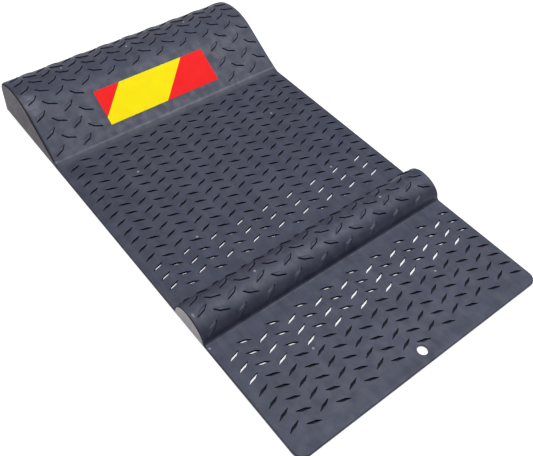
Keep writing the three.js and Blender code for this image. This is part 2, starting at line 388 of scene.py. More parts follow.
def top_rise(y):
    return float(np.interp(y, TOP.y, TOP.z)) - PLATE_TOP


def under_label(row, column):
    return row < LABEL_ROWS and column in LABEL_COLUMNS


# ---------- bars standing on the humps ----------

# Height, wear and painted shadow of a bar against distance in from its outline: a small root fillet and a
# steep side, darkened as painted shadow, a soft rubbed top edge that also paints a highlight, and a less
# rubbed top
BAR_INSET = [-0.6, -0.4, 0.3, 0.55, 0.9]
BAR_LIFT = [0.0, 0.06, 0.8, 0.96, 1.0]
BAR_WEAR_AND_SHADE = [0.0, -0.8, -1.0, 0.7, 0.2]
BAR_SURROUND = 0.85
BAR_MARGIN = 0.1
# The share of their height that bars keep as they near the back of the stop hump
BAR_FADE_Y, BAR_FADE = (210, 221), (1, 0.5)


def bar_outlines():
    """Each bar's outline in the unrolled (x, s) plane."""
    outlines = []
    for bars, skip in ((APPROACH_BARS, None), (STOP_BARS, under_label)):
        shapes = parallelogram(bars["tip"], bars["corner"], BAR_ROUNDING)
        for x, y, lean in lattice(bars, bars["pitch"], BAR_FORWARD_X, BAR_BACKWARD_X, top_rise, skip):
            plan = shapes[lean] + (x, y)
            outlines.append(np.column_stack([plan[:, 0], TOP.s_of(plan[:, 1])]))
    return outlines


def inside_distance(points, outline):
    """How far points lie inside a convex outline, negative outside it."""
    nxt = np.roll(outline, -1, axis=0)
    edge = nxt - outline
    length = (edge ** 2).sum(axis=1)
    away = points[:, None, :] - outline[None]
    share = np.clip((away * edge).sum(axis=2) / length, 0, 1)
    gap = np.linalg.norm(away - share[..., None] * edge, axis=2).min(axis=1)
    inward = edge[:, 0] * away[..., 1] - edge[:, 1] * away[..., 0]
    return np.where((inward > -1e-7).all(axis=1), gap, -gap)


def facing_front(points, outline):
    """Which points lie on the half of a bar that faces the front edge."""
    centre = outline.mean(axis=0)
    reach = outline - centre
    tip = reach[np.linalg.norm(reach, axis=1).argmax()]
    tip = tip if tip[0] > 0 else -tip
    return (points - centre) @ np.array([-tip[1], tip[0]]) < 0


def bar_lift(points, outlines):
    """Height of the bars over the smooth surface at points of the unrolled plane, and their wear and painted
    shadow.
    """
    lift, wear_and_shade = np.zeros(len(points)), np.zeros(len(points))
    reach = -BAR_INSET[0] + BAR_MARGIN
    for outline in outlines:
        low, high = outline.min(axis=0) - reach, outline.max(axis=0) + reach
        near = np.where(((points > low) & (points < high)).all(axis=1))[0]
        if len(near):
            share = np.interp(inside_distance(points[near], outline), BAR_INSET, BAR_LIFT)
            rub_and_shade = np.interp(share, BAR_LIFT, BAR_WEAR_AND_SHADE)
            # Painted shadow: the dark root and side are kept only on the half of a bar that faces the front
            # edge
            unshaded_back_half = (rub_and_shade < 0) & ~facing_front(points[near], outline)
            fade = np.interp(TOP.at(outline[:, 1].mean())[0], BAR_FADE_Y, BAR_FADE)
            higher = share * BAR_HEIGHT * fade > lift[near]
            lift[near] = np.where(higher, share * BAR_HEIGHT * fade, lift[near])
            wear_and_shade[near] = np.where(higher, np.where(unshaded_back_half, 0, rub_and_shade), wear_and_shade[near])
    return lift, wear_and_shade


# ---------- mesh building ----------

# Material slots of the moulding, and the wear below which a face gets the near-black one of painted shade
PLAIN, SHADED, SIDE = 0, 1, 2
SHADED_BELOW = -0.6
MERGE_DISTANCE = 0.002
SHARP_ANGLE = math.radians(50)


class Builder:
    """Collects points and faces in millimetres and makes one merged object from them."""

    def __init__(self):
        self.points = []
        self.wear_and_shade = []
        self.finish = PLAIN
        self.finishes = []
        self.faces = []
        self.count = 0

    def add(self, points, wear_and_shade=0.0):
        points = np.asarray(points, float)
        self.points.append(points)
        self.wear_and_shade.append(np.broadcast_to(wear_and_shade, len(points)))
        first = self.count
        self.count += len(points)
        return np.arange(first, self.count)

    def face(self, *corners):
        self.faces.append([int(c) for c in corners])
        self.finishes.append(self.finish)

    def strip(self, ring, next_ring, closed=True):
        """Quads between two rings of equal length."""
        last = len(ring) if closed else len(ring) - 1
        for i in range(last):
            j = (i + 1) % len(ring)
            self.face(ring[i], ring[j], next_ring[j], next_ring[i])

    def rings(self, rings, closed=True, ring_wear_and_shade=None):
        made = [self.add(ring, wear_and_shade) for ring, wear_and_shade in zip(rings, ring_wear_and_shade or [0.0] * len(rings))]
        for ring, next_ring in zip(made, made[1:]):
            self.strip(ring, next_ring, closed)

    def object(self, name, *materials):
        mesh = bpy.data.meshes.new(name)
        mesh.from_pydata((np.vstack(self.points) * MM).tolist(), [], self.faces)
        mesh.attributes.new("wear_and_shade", "FLOAT", "POINT").data.foreach_set("value", np.hstack(self.wear_and_shade))
        mesh.polygons.foreach_set("material_index", self.finishes)
        work = bmesh.new()
        work.from_mesh(mesh)
        bmesh.ops.remove_doubles(work, verts=work.verts, dist=MERGE_DISTANCE * MM)
        bmesh.ops.dissolve_degenerate(work, edges=work.edges, dist=1e-7)
        loose = [v for v in work.verts if not v.link_faces]
        bmesh.ops.delete(work, geom=loose, context="VERTS")
        bmesh.ops.recalc_face_normals(work, faces=work.faces)
        work.to_mesh(mesh)
        work.free()
        mesh.polygons.foreach_set("use_smooth", [True] * len(mesh.polygons))
        mesh.set_sharp_from_angle(angle=SHARP_ANGLE)
        for material in materials:
            mesh.materials.append(material)
        piece = bpy.data.objects.new(name, mesh)
        bpy.context.scene.collection.objects.link(piece)
        return piece


def anticlockwise(outline):
    outline = np.asarray(outline, float)
    nxt = np.roll(outline, -1, axis=0)
    area = (outline[:, 0] * nxt[:, 1] - outline[:, 1] * nxt[:, 0]).sum()
    return outline if area > 0 else outline[::-1]


def triangulated(outline, holes=(), loops=(), chains=(), dots=()):
    """Triangles that fill a flat outline round its holes, along the edges of the loops and chains."""
    spots, edges, faces = [], [], []

    def place(points):
        first = len(spots)
        spots.extend(Vector(p) for p in points)
        return list(range(first, len(spots)))

    for polygon in (outline, *holes):
        faces.append(place(anticlockwise(polygon)))
    for loop in loops:
        ring = place(loop)
        edges += list(zip(ring, ring[1:] + ring[:1]))
    for chain in chains:
        run = place(chain)
        edges += list(zip(run, run[1:]))
    place(dots)
    found = delaunay_2d_cdt(spots, edges, faces, 0, TINY, True)
    points = np.array([tuple(p) for p in found[0]])
    kept = [tri for tri, inside in zip(found[2], found[5]) if list(inside) == [0]]
    return points, kept


def lay(builder, points, triangles, wear_and_shade=0.0, finish=PLAIN):
    """Adds triangles. Those whose corners all carry deep painted shade get the near-black finish of painted
    shade.
    """
    index = builder.add(points, wear_and_shade)
    deep_shade = np.broadcast_to(wear_and_shade, len(points)) < SHADED_BELOW
    for triangle in triangles:
        builder.finish = SHADED if deep_shade[list(triangle)].all() else finish
        builder.face(*(index[i] for i in triangle))
    builder.finish = PLAIN


# ---------- the moulding ----------


FRONT_CORNER_STEPS = 10
DRAFT_LINES = 20
FOOT_MARGIN = 1


def front_corner(side):
    """Plan points and outward directions round a front corner, from the left round to the right."""
    angles = np.linspace(math.pi, 1.5 * math.pi, FRONT_CORNER_STEPS + 1)
    if side > 0:
        angles = angles + math.pi / 2
    way = np.column_stack([np.cos(angles), np.sin(angles)])
    centre = np.array([side * (HALF_WIDTH - CORNER_RADIUS), FRONT_Y + CORNER_RADIUS])
    return centre + CORNER_RADIUS * way, way


def front_run():
    """Both front corners, joined by the straight front edge."""
    left, left_way = front_corner(-1)
    right, right_way = front_corner(1)
    return np.vstack([left, right]), np.vstack([left_way, right_way])


SIDE_S = np.unique(np.r_[
    CORNER_RADIUS, TOP.lines_between(CORNER_RADIUS, TOP.s[-1]), TOP.s[-1],
    TOP.s_of(np.linspace(DRAFT_STARTS, STOP_RIM_FULL, DRAFT_LINES))])


def rim_ring(inset_share, depth_share, extra_depth=0.0):
    """A ring along the left side, the front and the right side, insets and depths in rim radii."""
    plan, way = front_run()
    depth = PLATE_RIM * depth_share + extra_depth
    front = flat_ring(plan - way * PLATE_RIM * inset_share, PLATE_TOP - depth)
    y, z, ny, nz = TOP.at(SIDE_S)
    radius = rim_radius(y)
    drop = radius * depth_share + extra_depth
    y, z = y - drop * ny, z - drop * nz
    x = side_x(y, z) - radius * inset_share
    right = np.column_stack([x, y, z])
    left = (right * (-1, 1, 1))[::-1]
    return np.vstack([left[:-1], front, right[1:]])


def rim_shade(dark):
    """Painted shade along a rim ring, as wear below zero: it darkens the long sides and spares the front
    edge.
    """
    sides = np.full(len(SIDE_S) - 1, -dark)
    return np.r_[sides, np.zeros(len(front_run()[0])), sides]


def top_outline(side_s, inset=0.0):
    """The smooth top's outline in the (x, s) plane, an inset inside the rim."""
    plan, way = front_run()
    front = plan - way * (PLATE_RIM + inset)
    front = np.column_stack([front[:, 0], front[:, 1] - FRONT_Y])
    y, z, _, _ = TOP.at(side_s)
    right = np.column_stack([side_x(y, z) - rim_radius(y) - inset, side_s])
    left = (right * (-1, 1))[::-1]
    return np.vstack([left[:-1], front, right[1:]])


SLOT_SHAPES = parallelogram(SLOT_TIP, SLOT_CORNER, SLOT_ROUNDING)


def slot_centres(slots):
    return lattice(slots, SLOT_PITCH, SLOT_FORWARD_X, SLOT_BACKWARD_X)


def slot_outlines(rows):
    return [SLOT_SHAPES[lean] + (x, y) for x, y, lean in slot_centres(rows)]


def hole_outline(radius):
    angle = np.linspace(0, 2 * math.pi, HOLE_STEPS, endpoint=False)
    return np.column_stack([HOLE_X + radius * np.cos(angle), HOLE_Y + radius * np.sin(angle)])


def on_top(plan, depth=0.0):
    """Points of the top surface over plan points, some way down along its normal."""
    y, z, ny, nz = TOP.at(TOP.s_of(plan[:, 1]))
    return np.column_stack([plan[:, 0], y - depth * ny, z - depth * nz])


def unrolled(plan):
    return np.column_stack([plan[:, 0], TOP.s_of(plan[:, 1])])


def top_sheet(slots, bars):
    """Points (x, s) and triangles of the unrolled top, which keep the lines where its shape changes."""
    holes = [unrolled(grown(slot, SLOT_BEVEL)) for slot in slots]
    holes.append(unrolled(hole_outline(HOLE_RADIUS + HOLE_RINGS[0][0])))
    loops = [unrolled(grown(slot, SLOT_BEVEL + SUPPORT / 2)) for slot in slots]
    loops += [grown(bar, -inset) for bar in bars for inset in BAR_INSET]
    loops += [within_rim(grown(bar, BAR_SURROUND)) for bar in bars]
    slots_end = TOP.s_of(max(slot[:, 1].max() for slot in slots)) + SLOT_BEVEL + SUPPORT
    plate_start = TOP.s_of(APPROACH_BACK_Y + FOOT_FILLET + FOOT_MARGIN)
    lines = [s for s in TOP.lines_between(0, TOP.s[-1]) if not plate_start < s < slots_end]
    y, z, _, _ = TOP.at(np.array(lines))
    chains = [[(-x, s), (x, s)] for s, x in zip(lines, side_x(y, z) - rim_radius(y))]
    chains.append(top_outline(SIDE_S[:-1], SUPPORT))
    return triangulated(top_outline(SIDE_S), holes, loops, chains)


def add_top(builder, bars):
    """The top surface with its bars, and the walls of the slots and the fixing hole."""
    slots = slot_outlines(FRONT_SLOTS) + slot_outlines(LONG_SLOTS)
    points, triangles = top_sheet(slots, bars)
    y, z, ny, nz = TOP.at(points[:, 1])
    lift, wear_and_shade = bar_lift(points, bars)
    # Painted shade on the back of the approach hump
    wear_and_shade = np.minimum(wear_and_shade, back_shade(y, ny, nz))
    lay(builder, np.column_stack([points[:, 0], y + lift * ny, z + lift * nz]), triangles, wear_and_shade)
    for slot in slots:
        foot = SHEET_Z if in_pocket(slot) else 0
        rings = [on_top(grown(slot, out), depth) for out, depth in SLOT_RINGS]
        rings += [flat_ring(slot, foot + SLOT_FOOT), flat_ring(grown(slot, SLOT_FOOT), foot)]
        builder.rings(rings[:SLOT_BRIGHT_RINGS])
        # Below the bevel the slot walls get the near-black finish: painted shade in the slots
        builder.finish = SHADED
        builder.rings(rings[SLOT_BRIGHT_RINGS - 1:])
        builder.finish = PLAIN
    builder.rings([
        flat_ring(hole_outline(HOLE_RADIUS + out), PLATE_TOP - depth) for out, depth in HOLE_RINGS])


def back_shade(y, ny, nz):
    """Painted shade on the steep back of the approach hump, as wear below zero. Elsewhere it is above any
    wear.
    """
    steep = ease((np.degrees(np.arctan2(ny, nz)) - BACK_SHADE_STARTS) / BACK_SHADE_SPAN)
    behind = (y > APPROACH_CREST_Y) & (y < APPROACH_BACK_Y)
    return np.where(behind & (steep > 0), -BACK_SHADE * steep, 1.0)


def within_rim(outline):
    """An outline of the unrolled plane kept off the rim."""
    y, z, _, _ = TOP.at(outline[:, 1])
    reach = side_x(y, z) - rim_radius(y) - SUPPORT / 2
    return np.column_stack([np.clip(outline[:, 0], -reach, reach), outline[:, 1]])


def in_pocket(slot):
    y = slot[:, 1].mean()
    return FRONT_POCKET[0] < y < FRONT_POCKET[1] or REAR_POCKET[0] < y < REAR_POCKET[1]


def quarter_rings(steps):
    """(inset share, depth share) round a rim, from the top surface to the upright side."""
    angles = [math.pi / 2 * step / steps for step in range(steps + 1)]
    return [(1 - math.sin(a), 1 - math.cos(a)) for a in angles]


LOWER_Y = np.array([FRONT_Y + CORNER_RADIUS, BACK_Y - STOP_RIM - SUPPORT])


def add_edges(builder):
    """The rim, the upright sides and the rounded lower edge of the moulding."""
    rings = [rim_ring(*share) for share in quarter_rings(RIM_STEPS)]
    rings.append(rim_ring(0, 1, SUPPORT))
    # The rim rings carry painted shade along the long sides
    builder.rings(rings, closed=False, ring_wear_and_shade=[rim_shade(dark) for dark in RIM_SHADE])

    count = len(SIDE_S)
    upper = rings[-1]
    front = upper[count - 1:-(count - 1)]
    floor_z = [GROUND_EDGE + SUPPORT, GROUND_EDGE]
    builder.rings([front] + [flat_ring(front[:, :2], z) for z in floor_z], closed=False)

    for side in (-1, 1):
        chain = upper[-count:] if side > 0 else upper[:count][::-1]
        chain = chain[:-1, 1:]
        foot = np.column_stack([LOWER_Y, [floor_z[0], chain[-1, 1]]])
        outline = np.vstack([chain, foot[::-1]])
        points, triangles = triangulated(distinct(outline))
        # Painted shade: the upright sides darken over the stop hump's end walls
        painted_shade = END_SHADE * ease((points[:, 0] - STOP_RIM_STARTS) / (STOP_RIM_FULL - STOP_RIM_STARTS))
        lay(builder, side_face(side, points), triangles, -painted_shade, SIDE)
        builder.rings([side_face(side, foot), side_face(side, flat_ring(LOWER_Y[:, None], GROUND_EDGE))],
                      closed=False)


def side_face(side, spots):
    """Places (y, z) in the side view put on the left (-1) or right (1) side of the mat."""
    return np.column_stack([side * side_x(spots[:, 0], spots[:, 1]), spots])


def distinct(outline):
    """An outline without repeated neighbours."""
    gap = np.linalg.norm(outline - np.roll(outline, 1, axis=0), axis=1)
    return outline[gap > 1e-5]


def lower_loop():
    """The whole lower edge, anticlockwise: places in plan and outward directions."""
    one, zero = np.ones(len(LOWER_Y)), np.zeros(len(LOWER_Y))
    right = np.column_stack([side_x(LOWER_Y, GROUND_EDGE), LOWER_Y, one, zero])
    left = (right * (-1, 1, -1, 1))[::-1]
    front = np.column_stack(front_run())
    x = side_x(BACK_Y, GROUND_EDGE)
    angle = np.linspace(0, math.pi / 2, RIM_STEPS + 1)
    way = np.column_stack([np.cos(angle), np.sin(angle)])
    corner = np.column_stack([np.array([x - STOP_RIM, BACK_Y - STOP_RIM]) + STOP_RIM * way, way])
    other = (corner * (-1, 1, -1, 1))[::-1]
    return np.vstack([left[:-1], front, right[1:], corner, other])


def edge_ring(loop, angle):
    """The rounded lower edge at an angle from its upright side (0) to its underside (90 degrees)."""
    plan = loop[:, :2] - GROUND_EDGE * (1 - math.cos(angle)) * loop[:, 2:]
    return flat_ring(plan, GROUND_EDGE * (1 - math.sin(angle)))


def flat_ring(outline, z):
    return np.column_stack([outline, np.full(len(outline), z)])


def slot_feet(rows, pocketed):
    """The lower outlines of the slots that open into a pocket, or of those that don't."""
    return [grown(slot, SLOT_FOOT) for slot in slot_outlines(rows) if in_pocket(slot) == pocketed]


SLAB_CORNER_STEPS = 5
NOTCH_POINTS = 13


def slab_outline(left, right, fronts, back, corner, notch):
    """A rounded oblong in plan, cut back round the fixing hole where its front edge meets it."""
    corners = [(left, fronts[0]), (right, fronts[1]), (right, back), (left, back)]
    outline = rounded(corners, (corner,) * 4, SLAB_CORNER_STEPS)
    into = fronts[0] - HOLE_Y
    if into > notch:
        return outline
    half = math.acos(into / notch)
    angle = np.linspace(-half, half, NOTCH_POINTS)
    bite = np.column_stack([HOLE_X + notch * np.sin(angle), HOLE_Y + notch * np.cos(angle)])
    first = SLAB_CORNER_STEPS + 1
    return np.vstack([outline[:first], bite, outline[first:]])


def add_pocket(builder, ends, slots):
    """A shallow pocket for the foam strips, with the slots through its ceiling. Gives its mouth."""
    fronts = (ends[0], ends[0])
    wall = slab_outline(-POCKET_REACH, POCKET_REACH, fronts, ends[1], POCKET_CORNER, POCKET_NOTCH)
    mouth = grown(wall, POCKET_BEVEL)
    root = grown(wall, -POCKET_ROOT)
    builder.rings([
        flat_ring(mouth, 0), flat_ring(wall, POCKET_BEVEL),
        flat_ring(wall, SHEET_Z - POCKET_ROOT), flat_ring(root, SHEET_Z)])
    points, triangles = triangulated(root, slot_feet(slots, True))
    lay(builder, flat_ring(points, SHEET_Z), triangles)
    return mouth


def add_underside(builder):
    """The ground face with its pockets, and the hollows of both humps."""
    loop = lower_loop()
    rings = [edge_ring(loop, math.pi / 2 * step / EDGE_STEPS) for step in range(EDGE_STEPS + 1)]
    builder.rings(rings)
    holes = [hole_outline(HOLE_RADIUS + HOLE_RINGS[-1][0])]
    for ends, slots in ((FRONT_POCKET, FRONT_SLOTS), (REAR_POCKET, LONG_SLOTS)):
        holes.append(add_pocket(builder, ends, slots))
        holes += slot_feet(slots, False)
    holes.append(add_hollow(builder, ARCH, APPROACH_END_WALL))
    holes.append(add_hollow(builder, CEILING, STOP_END_WALL))
    points, triangles = triangulated(distinct(rings[-1][:, :2]), holes)
    lay(builder, flat_ring(points, 0), triangles)


def add_hollow(builder, ceiling, end_wall):
    """The hollow under a hump, between its end walls. Gives its mouth."""
    reach = side_x(ceiling.y, ceiling.z) - end_wall
    outline = np.vstack([
        np.column_stack([-reach, ceiling.s])[::-1], np.column_stack([reach, ceiling.s])])
    chains = [[(-x, s), (x, s)] for x, s in zip(reach, ceiling.s)][1:-1]
    points, triangles = triangulated(outline, chains=chains)
    y, z, _, _ = ceiling.at(points[:, 1])
    lay(builder, np.column_stack([points[:, 0], y, z]), triangles)
    for side in (-1, 1):
        points, triangles = triangulated(np.column_stack([ceiling.y, ceiling.z]))
        x = side * (side_x(points[:, 0], points[:, 1]) - end_wall)
        lay(builder, np.column_stack([x, points]), triangles)
    near, far = ceiling.y[[0, -1]]
    x_near, x_far = reach[[0, -1]]
    edge = np.array([(-x_near, near), (x_near, near), (x_far, far), (-x_far, far)])
    mouth = grown(edge, GROUND_EDGE)
    builder.rings([
        flat_ring(edge, GROUND_EDGE),
        flat_ring(grown(edge, GROUND_EDGE * BEVEL_MIDDLE), GROUND_EDGE * BEVEL_MIDDLE),
        flat_ring(mouth, 0)])
    return mouth


def make_moulding(*materials):
    bars = bar_outlines()
    builder = Builder()
    add_top(builder, bars)
    add_edges(builder)
    add_underside(builder)
    return builder.object("mat_moulding", *materials)


# ---------- ribs ----------

RIB_ROOT, RIB_EDGE = 2.6, 1.8
RIB_BEVEL = 0.35
RIB_SUNK = 0.4
RIB_FOOT = 0.7


def rib_half_thickness(z, top_z):
    """Ribs are thicker where they grow out of the shell than at their free edge."""
    return (RIB_EDGE + (RIB_ROOT - RIB_EDGE) * np.clip(z / top_z, 0, 1)) / 2


def make_rib(name, x, outline, material):
    """A web across the hollow of a hump. The outline is its side view, counter-clockwise in (y, z)."""
    builder = Builder()
    top_z = outline[:, 1].max()
    inner = grown(outline, -RIB_BEVEL)
    slope = grown(outline, -RIB_BEVEL * BEVEL_MIDDLE)
    flat = grown(inner, -SUPPORT)
    for side in (-1, 1):
        points, triangles = triangulated(flat)
        half = rib_half_thickness(points[:, 1], top_z)
        lay(builder, np.column_stack([x + side * half, points]), triangles)

    def ring(view, share, side):
        half = rib_half_thickness(view[:, 1], top_z) - RIB_BEVEL * share
        return np.column_stack([x + side * half, view])

    views = ((flat, 0), (inner, 0), (slope, BEVEL_MIDDLE), (outline, 1))
    left = [ring(view, share, -1) for view, share in views]
    right = [ring(view, share, 1) for view, share in reversed(views)]
    builder.rings(left + right)
    return builder.object(name, material)


def hollow_outline(profile):
    """The side view of the space under a hollow's ceiling, let a little way into the shell."""
    top = profile.z.argmax()
    start = np.interp(RIB_FOOT, profile.z[:top + 1], profile.s[:top + 1])
    end = np.interp(-RIB_FOOT, -profile.z[top:], profile.s[top:])
    y, z, ny, nz = profile.at(np.r_[start, profile.lines_between(start, end), end])
    return anticlockwise(distinct(np.column_stack([y + RIB_SUNK * ny, z + RIB_SUNK * nz])))


def make_ribs(material):
    """Five ribs in each hump, where the frame has them."""
    for hump, outline in (("stop", hollow_outline(CEILING)), ("approach", hollow_outline(ARCH))):
        for number in range(1, RIBS_IN_HUMP + 1):
            node = f"{hump}_rib_{number}"
            low, high = corner_mm(node, 0), corner_mm(node, 1)
            rib = make_rib(f"{hump}_web_{number}", (low[0] + high[0]) / 2, outline, material)
            settle(rib, "moulded_plastic", node)


def settle(piece, slot, *nodes):
    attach(piece, "root")
    if nodes:
        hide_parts(*nodes)


# ---------- foam strips ----------

STRIPS = ("grip_strip_front", "grip_strip_middle_front", "grip_strip_middle_rear", "grip_strip_rear")
STRIP_INSET = 0.15
STRIP_SEAM = 0.02
STRIP_WEDGE = 1.3
STRIP_CORNER = 1.5
STRIP_NOTCH = 7.0
STRIP_EDGE = 0.3
STRIP_CLEARANCE = 0.02
STRIP_GRID = 4.0
STRIP_RIPPLE = 0.05
STRIP_FLAT_MARGIN, STRIP_DOT_MARGIN = 0.3, 0.5


def make_strip(node, material):
    """A soft grip strip: a slab with rounded edges and a slightly uneven face."""
    outline = strip_outline(node)
    top = corner_mm(node, 1)[2] - STRIP_CLEARANCE
    middle = BEVEL_MIDDLE * STRIP_EDGE
    lower = [(-SUPPORT - STRIP_EDGE, 0), (-STRIP_EDGE, 0), (-middle, middle), (0, STRIP_EDGE)]
    rings = lower + [(out, top - z) for out, z in reversed(lower)]
    builder = Builder()
    builder.rings([flat_ring(grown(outline, out), z) for out, z in rings])
    face = grown(outline, rings[0][0])
    points, triangles = triangulated(face, dots=strip_dots(face))
    inside = inside_distance(points, grown(face, -STRIP_FLAT_MARGIN)) > 0
    for base, rising in ((0, 1), (top, -1)):
        z = base + rising * inside * STRIP_RIPPLE * foam_wave(*points.T)
        lay(builder, np.column_stack([points, z]), triangles)
    return builder.object(node + "_foam", material)


def foam_wave(x, y):
    """Gentle unevenness of the foam, from 0 to 1, in waves about two centimetres long."""
    return (1 + np.sin(x * 0.21 + y * 0.13) * np.sin(y * 0.37 + 1.3)) / 2


def strip_outline(node):
    """The strip's outline in plan. The middle strips almost touch. The rear strip was laid slightly askew,
    touching the one in front, so a thin wedge opens between them."""
    (x0, y0, _), (x1, y1, _) = corner_mm(node, 0), corner_mm(node, 1)
    front_left, front_right, back = y0 + STRIP_INSET, y0 + STRIP_INSET, y1 - STRIP_INSET
    seam = (corner_mm(STRIPS[1], 1)[1] + corner_mm(STRIPS[2], 0)[1]) / 2
    if node == STRIPS[1]:
        back = seam - STRIP_SEAM / 2
    if node == STRIPS[2]:
        front_left = front_right = seam + STRIP_SEAM / 2
    if node == STRIPS[-1]:
        middle_end = corner_mm(STRIPS[-2], 1)[1]
        front_left, front_right = middle_end, middle_end + STRIP_WEDGE
        back = REAR_POCKET[1] - STRIP_INSET
    return slab_outline(x0, x1, (front_left, front_right), back, STRIP_CORNER, STRIP_NOTCH)


def strip_dots(face):
    """A grid of inner points that lets the foam's face be uneven."""
    (x0, y0), (x1, y1) = face.min(axis=0), face.max(axis=0)
    across = np.linspace(x0, x1, max(3, round((x1 - x0) / STRIP_GRID)) + 1)
    along = np.linspace(y0, y1, max(3, round((y1 - y0) / STRIP_GRID)) + 1)
    grid = np.array([(x, y) for x in across for y in along])
    return grid[inside_distance(grid, grown(face, -STRIP_DOT_MARGIN)) > 0]


# ---------- label ----------

FILM = 0.28
FILM_EDGE = 0.08
FILM_JOINT = 0.04
FILM_CORNER = 0.3


def ramp_point(across, up, out):
    """Places on the ramp: across the mat, up the ramp from the fold, and out along its normal."""
    c, s = math.cos(RAMP_ANGLE), math.sin(RAMP_ANGLE)
    y = FOLD_Y + up * c - out * s
    z = PLATE_TOP + up * s + out * c
    return np.column_stack([across, y, z])


def make_film(name, corners, material):
    """One flat panel of film with a soft cut edge, its corners counter-clockwise up the ramp."""
    panel = grown(rounded(corners, (FILM_CORNER,) * len(corners), ROUNDING_STEPS), -FILM_JOINT)
    builder = Builder()
    middle = BEVEL_MIDDLE * FILM_EDGE
    rings = [
        (0, 0), (0, FILM - FILM_EDGE), (-middle, FILM - middle), (-FILM_EDGE, FILM), (-2 * FILM_EDGE, FILM)]
    builder.rings([film_ring(grown(panel, out), height) for out, height in rings])
    for out, height in (rings[0], rings[-1]):
        points, triangles = triangulated(grown(panel, out))
        lay(builder, film_ring(points, height), triangles)
    return builder.object(name, material)


def film_ring(points, height):
    """Points of the label's own plane put on the ramp, at a height over it."""
    left = LABEL_CENTRE_X - LABEL_WIDTH / 2
    return ramp_point(left + points[:, 0], LABEL_FOOT + points[:, 1], np.full(len(points), height))


def make_label(red, yellow):
    """The label's three panels: a slanting yellow band between two red ends."""
    wide, high = LABEL_WIDTH, LABEL_HEIGHT
    foot_left, foot_right = BAND_TOP_LEFT - high, BAND_TOP_RIGHT - high
    left = [(0, -foot_left), (BAND_TOP_LEFT, high), (0, high)]
    band = [(0, 0), (foot_right, 0), (BAND_TOP_RIGHT, high), (BAND_TOP_LEFT, high), (0, -foot_left)]
    right = [(foot_right, 0), (wide, 0), (wide, high), (BAND_TOP_RIGHT, high)]
    settle(make_film("label_film_left", left, red), "label_red", "label_red_left")
    settle(make_film("label_film_band", band, yellow), "label_yellow", "label_yellow_band")
    settle(make_film("label_film_right", right, red), "label_red", "label_red_right")


# ---------- gate marks ----------

GATE_MARKS = [
    (-72.3, 73.3), (80.5, 67.9), (-73, -23.2), (78, -25.9), (-65, -166), (66, -170.4),
    (-64, -91), (75, -91), (-75, 204), (-5, 199.5), (67, 204)]
GATE_RADIUS = 1.05
GATE_RISE = 0.3
GATE_STEPS = 16
# A stub's rings, as shares of its radius and rise: a buried foot, a rounded lip and a dimple
GATE_RINGS = ((1.15, -0.1), (1, 0.05), (0.8, 0.75), (0.55, 1), (0.3, 0.7), (0.1, 0.65))


def make_gate_marks(material):
    """Small pale stubs where the plastic entered the mould; their paleness partly paints the highlights on
    them.
    """
    builder = Builder()
    angle = np.linspace(0, 2 * math.pi, GATE_STEPS, endpoint=False)
    for x, y in GATE_MARKS:
        centre_s = TOP.s_of(y)
        rings = []
        for share, rise in GATE_RINGS:
            s = centre_s + share * GATE_RADIUS * np.sin(angle)
            y_at, z_at, ny, nz = TOP.at(s)
            out = GATE_RISE * rise
            across = x + share * GATE_RADIUS * np.cos(angle)
            rings.append(np.column_stack([across, y_at + out * ny, z_at + out * nz]))
        builder.rings(rings)
        builder.face(*builder.add(rings[-1]))
        builder.face(*builder.add(rings[0][::-1]))
    return builder.object("gate_marks", material)


# ---------- materials ----------

# Linear colours
DARK_PLASTIC, LIGHT_PLASTIC = (0.019, 0.021, 0.042, 1), (0.030, 0.033, 0.058, 1)
# Flow streaks, and the rubbed bar edges, which also paint a highlight
FLOW_STREAK, RUBBED_HIGHLIGHT_PLASTIC = (0.055, 0.052, 0.066, 1), (0.12, 0.115, 0.13, 1)
# The fold's colours: painted shade in its hollow and a painted highlight along its top
FOLD_SHADE, FOLD_HIGHLIGHT = (0.004, 0.004, 0.008, 1), (0.15, 0.15, 0.18, 1)
# Painted shade; the colour of painted highlights and glints; and the gate stubs' pale, which partly paints
# their highlights
PAINTED_SHADE_COLOUR, GLINT_PALE, GATE_PALE = (0.004, 0.004, 0.009, 1), (0.6, 0.6, 0.63, 1), (0.6, 0.58, 0.57, 1)
# The upright sides' paler, warmer grey, which paints the light falling on them
DARK_SIDE, LIGHT_SIDE = (0.044, 0.032, 0.048, 1), (0.056, 0.042, 0.060, 1)
# The painted pale sheen on the approach hump's end faces
PAINTED_END_SHEEN = (0.34, 0.32, 0.345, 1)
# Near-black colours of the painted shade in the slots and on the bars' front sides
DARK_SLOT_SHADE, LIGHT_SLOT_SHADE = (0.003, 0.004, 0.010, 1), (0.008, 0.010, 0.022, 1)
DARK_FOAM, LIGHT_FOAM = (0.008, 0.008, 0.012, 1), (0.018, 0.017, 0.024, 1)
RED, DEEP_RED = (0.96, 0.018, 0.016, 1), (0.92, 0.014, 0.013, 1)
YELLOW, DEEP_YELLOW = (1.0, 0.80, 0.0, 1), (0.97, 0.76, 0.0, 1)

# Painted highlights and glints: centre, radius and strength. The three small ones on the approach hump make
# one streak.
PAINTED_GLINT_SPOTS = [
    (Vector((-122.0, 178.0, 31.0)), 19.0, 0.2),
    (Vector((-126.8, -96.0, APPROACH_TOP - BAR_HEIGHT)), 1.5, 0.55),
    (Vector((-126.8, -97.6, APPROACH_TOP - BAR_HEIGHT)), 1.5, 0.6),
    (Vector((-126.8, -99.2, APPROACH_TOP - BAR_HEIGHT)), 1.3, 0.45),
    (Vector((-128.0, -119.5, PLATE_TOP)), 1.4, 0.45)]
HAZE = 0.01

